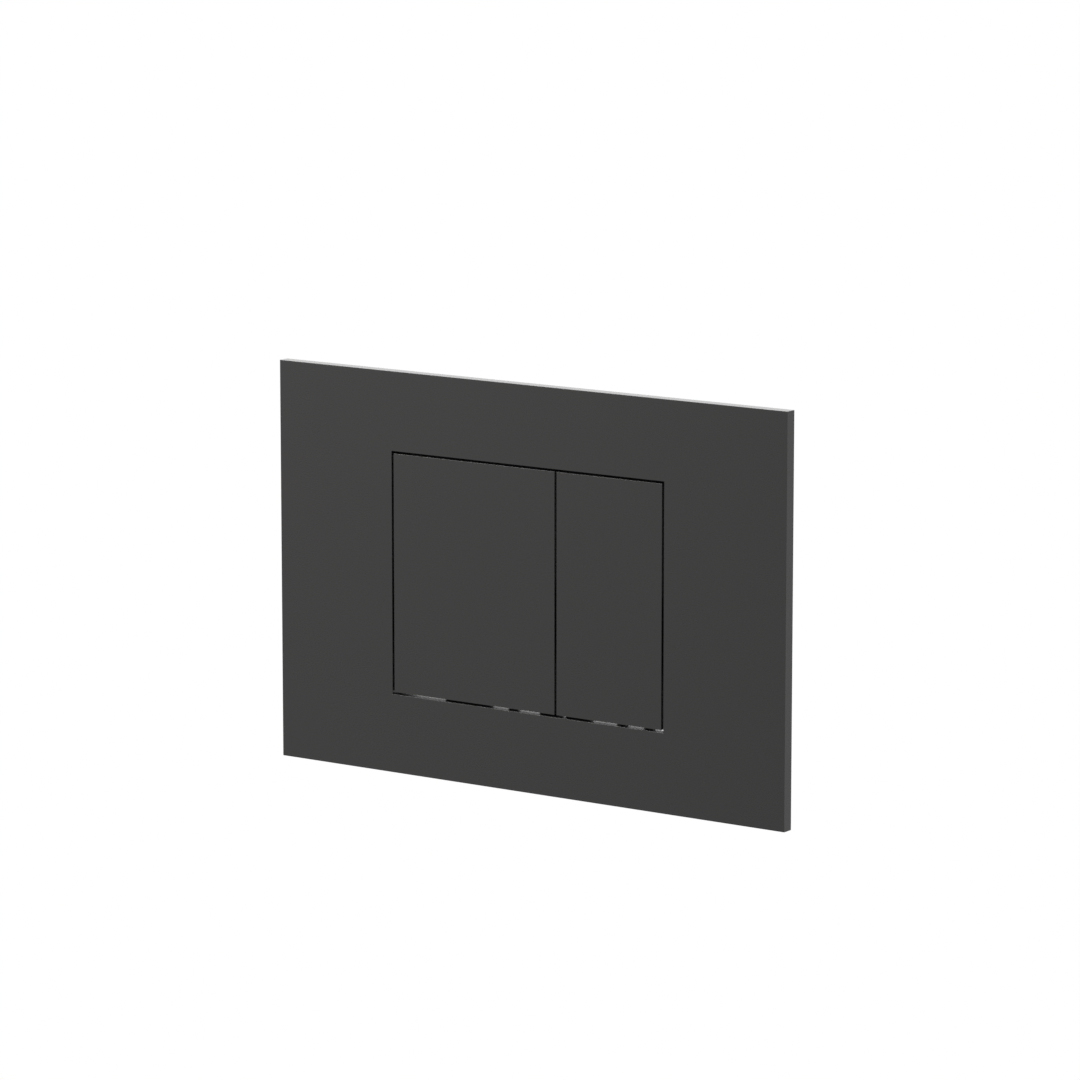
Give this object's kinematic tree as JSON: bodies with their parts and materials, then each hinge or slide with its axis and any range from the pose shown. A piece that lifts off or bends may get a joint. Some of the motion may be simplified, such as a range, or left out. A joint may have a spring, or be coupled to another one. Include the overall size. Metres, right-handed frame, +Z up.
{
  "type": "flush button plate",
  "caption": "Flat rectangular wall plate with a wide and a narrow flush button set flush in its window, push rods behind them and a mounting frame for an in-wall cistern.",
  "frame": {"origin": "middle of the plate, on the wall plane that the back of the plate's rim lies on", "axes": "+X to the right as seen from the room, +Y into the wall, +Z up"},
  "size_m": [0.245, 0.075, 0.165],
  "materials": {
    "plate_coat": "satin",
    "chassis_plastic": "matte",
    "carrier_plastic": "matte",
    "frame_plastic": "matte",
    "rod_plastic": "satin",
    "head_plastic": "satin",
    "zinc_steel": "satin",
    "pin_steel": "polished",
    "spring_steel": "satin",
    "buffer_rubber": "matte"
  },
  "bodies": {
    "plate": {"face_plate": "plate_coat", "button_chassis": "chassis_plastic", "mounting_frame": "frame_plastic", "full_hinge_pin": "pin_steel", "half_hinge_pin": "pin_steel", "full_return_spring": "spring_steel", "half_return_spring": "spring_steel", "plate_clips": "spring_steel", "fixing_screw_left": "zinc_steel", "fixing_screw_right": "zinc_steel", "fixing_washer_left": "zinc_steel", "fixing_washer_right": "zinc_steel", "stop_buffers": "buffer_rubber"},
    "full_button": {"full_flush_button": "plate_coat", "full_flush_carrier": "carrier_plastic"},
    "half_button": {"half_flush_button": "plate_coat", "half_flush_carrier": "carrier_plastic"},
    "full_rod": {"full_push_rod": "rod_plastic", "full_rod_head": "head_plastic", "full_lock_nut": "zinc_steel", "full_rod_clip": "spring_steel"},
    "half_rod": {"half_push_rod": "rod_plastic", "half_rod_head": "head_plastic", "half_lock_nut": "zinc_steel", "half_rod_clip": "spring_steel"}
  },
  "joints": [
    {"name": "full_button_press", "type": "hinge", "parent": "plate", "child": "full_button", "pos_m": [0, 0.0034, 0.044], "axis": [1, 0, 0], "range_deg": [0, 3.5], "stiffness_Nm_per_rad": 7, "springref_deg": -4.01},
    {"name": "half_button_press", "type": "hinge", "parent": "plate", "child": "half_button", "pos_m": [0, 0.0034, 0.044], "axis": [1, 0, 0], "range_deg": [0, 3.5], "stiffness_Nm_per_rad": 7, "springref_deg": -4.01},
    {"name": "full_rod_slide", "type": "slide", "parent": "plate", "child": "full_rod", "axis": [0, 1, 0], "range_m": [0, 0.00379], "deforming": ["full_return_spring"]},
    {"name": "half_rod_slide", "type": "slide", "parent": "plate", "child": "half_rod", "axis": [0, 1, 0], "range_m": [0, 0.00379], "deforming": ["half_return_spring"]}
  ],
  "couplings": [
    {"joint": "full_rod_slide", "follows": "full_button_press", "m_per_rad": 0.062},
    {"joint": "half_rod_slide", "follows": "half_button_press", "m_per_rad": 0.062}
  ]
}
